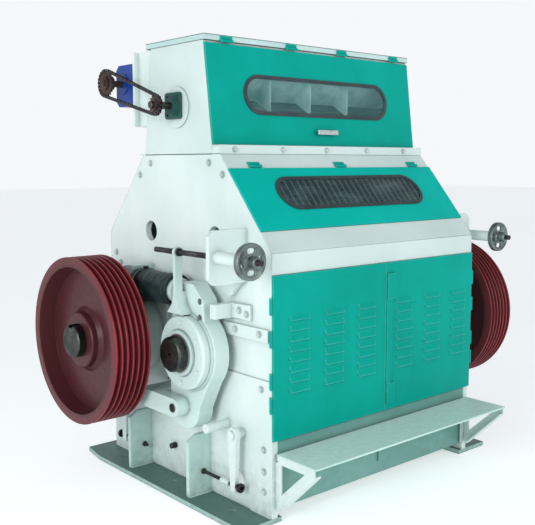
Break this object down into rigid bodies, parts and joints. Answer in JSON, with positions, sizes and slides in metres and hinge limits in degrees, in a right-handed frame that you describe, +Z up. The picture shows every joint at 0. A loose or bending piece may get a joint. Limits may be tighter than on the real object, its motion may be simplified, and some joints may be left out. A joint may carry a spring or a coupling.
{
  "type": "seed cracking machine",
  "caption": "Seed cracking machine: fluted rolls between plate side frames under a glazed feed hopper, with grooved drive pulleys, louvred doors, swing arms and gap-setting handwheels.",
  "frame": {"origin": "on the floor, at the centre of the four corner anchor holes, midway between the side frames and midway along their depth", "axes": "+X to the machine's right, +Y to its back, +Z up"},
  "size_m": [1.99, 1.432, 1.886],
  "materials": {
    "white_paint": "semi-gloss",
    "green_paint": "semi-gloss",
    "red_paint": "semi-gloss",
    "teal_paint": "semi-gloss",
    "blue_paint": "gloss",
    "wheel_paint": "satin",
    "shaft_steel": "machined",
    "dark_steel": "dark",
    "roll_iron": "ground",
    "chrome": "polished",
    "rubber": "matte",
    "boot_rubber": "satin",
    "glass": "clear",
    "zinc": "zinc plated",
    "tray_steel": "plain"
  },
  "bodies": {
    "frame": {"arm_stops": "white_paint", "boot_clamps": "zinc", "buffer_boots": "boot_rubber", "discharge_chute": "white_paint", "end_discs": "white_paint", "feed_bearings": "teal_paint", "feed_chain": "dark_steel", "feed_motor": "blue_paint", "feed_tray": "tray_steel", "floor_plates": "white_paint", "frame_bolts": "zinc", "front_bands": "white_paint", "front_sill": "white_paint", "gearbox": "blue_paint", "gussets": "white_paint", "hinge_barrels": "green_paint", "hopper_body": "white_paint", "hopper_roof": "white_paint", "lifting_bars": "white_paint", "motor_bracket": "white_paint", "pivot_links": "white_paint", "pivot_pins": "shaft_steel", "rear_covers": "white_paint", "rear_covers_sheet": "white_paint", "rear_housings": "white_paint", "rear_sill": "white_paint", "scraper_rods": "dark_steel", "screw_brackets": "white_paint", "side_frame_left": "white_paint", "side_frame_right": "white_paint", "slot_keepers": "white_paint", "step_brackets": "white_paint", "step_tread": "white_paint"},
    "hopper_door": {"hopper_door": "green_paint", "hopper_rubber": "rubber", "hopper_glass": "glass", "hopper_grip": "chrome"},
    "flap": {"flap": "green_paint", "flap_rubber": "rubber", "flap_glass": "glass"},
    "left_door": {"door_left": "green_paint"},
    "right_door": {"door_right": "green_paint", "door_pulls": "green_paint"},
    "swing_arms": {"swing_arm_left": "white_paint", "swing_arm_right": "white_paint", "arm_covers": "white_paint"},
    "front_roll": {"front_roll": "roll_iron", "front_shaft": "shaft_steel", "front_pulley": "red_paint"},
    "rear_roll": {"rear_roll": "roll_iron", "rear_shaft": "shaft_steel", "rear_pulley": "red_paint"},
    "feed_roll": {"feed_roll": "shaft_steel", "feed_sprocket": "shaft_steel"},
    "drive_sprocket": {"drive_sprocket": "shaft_steel"},
    "setting_screws": {"setting_screws": "dark_steel"},
    "left_handwheel": {"handwheel_left": "wheel_paint"},
    "right_handwheel": {"handwheel_right": "wheel_paint"},
    "front_scraper": {"front_scraper": "white_paint"},
    "rear_scraper": {"rear_scraper": "white_paint"}
  },
  "joints": [
    {"name": "rear_roll_spin", "type": "hinge", "parent": "frame", "child": "rear_roll", "pos_m": [0, 0.279, 0.632], "axis": [1, 0, 0], "continuous": true},
    {"name": "arm_swing", "type": "hinge", "parent": "frame", "child": "swing_arms", "pos_m": [0, -0.164, 0.401], "axis": [1, 0, 0], "range_deg": [-0.4, 3]},
    {"name": "front_roll_spin", "type": "hinge", "parent": "swing_arms", "child": "front_roll", "pos_m": [0, -0.205, 0.632], "axis": [1, 0, 0], "continuous": true},
    {"name": "screw_slide", "type": "slide", "parent": "frame", "child": "setting_screws", "axis": [0, -1, 0], "range_m": [-0.005, 0.0335]},
    {"name": "left_handwheel_turn", "type": "hinge", "parent": "frame", "child": "left_handwheel", "pos_m": [-0.758, -0.576, 1.03], "axis": [0, 1, 0], "continuous": true},
    {"name": "right_handwheel_turn", "type": "hinge", "parent": "frame", "child": "right_handwheel", "pos_m": [0.758, -0.576, 1.03], "axis": [0, 1, 0], "continuous": true},
    {"name": "feed_roll_spin", "type": "hinge", "parent": "frame", "child": "feed_roll", "pos_m": [0, 0.0225, 1.612], "axis": [1, 0, 0], "continuous": true},
    {"name": "drive_sprocket_spin", "type": "hinge", "parent": "frame", "child": "drive_sprocket", "pos_m": [-0.615, 0.409, 1.726], "axis": [1, 0, 0], "continuous": true},
    {"name": "hopper_door_swing", "type": "hinge", "parent": "frame", "child": "hopper_door", "pos_m": [0, -0.181, 1.862], "axis": [-1, 0, 0], "range_deg": [0, 100]},
    {"name": "flap_swing", "type": "hinge", "parent": "frame", "child": "flap", "pos_m": [0, -0.31997, 1.36431], "axis": [-1, 0, 0], "range_deg": [0, 90]},
    {"name": "left_door_swing", "type": "hinge", "parent": "frame", "child": "left_door", "pos_m": [-0.622, -0.581, 0.645], "axis": [0, 0, -1], "range_deg": [0, 110]},
    {"name": "right_door_swing", "type": "hinge", "parent": "frame", "child": "right_door", "pos_m": [0.622, -0.581, 0.645], "axis": [0, 0, 1], "range_deg": [0, 110]},
    {"name": "front_scraper_tilt", "type": "hinge", "parent": "frame", "child": "front_scraper", "pos_m": [0, -0.404, 0.323], "axis": [1, 0, 0], "range_deg": [-2, 2]},
    {"name": "rear_scraper_tilt", "type": "hinge", "parent": "frame", "child": "rear_scraper", "pos_m": [0, 0.404, 0.323], "axis": [-1, 0, 0], "range_deg": [-2, 2]}
  ],
  "couplings": [
    {"joint": "screw_slide", "follows": "arm_swing", "m_per_rad": 0.629},
    {"joint": "drive_sprocket_spin", "follows": "feed_roll_spin", "ratio": 0.68182}
  ]
}
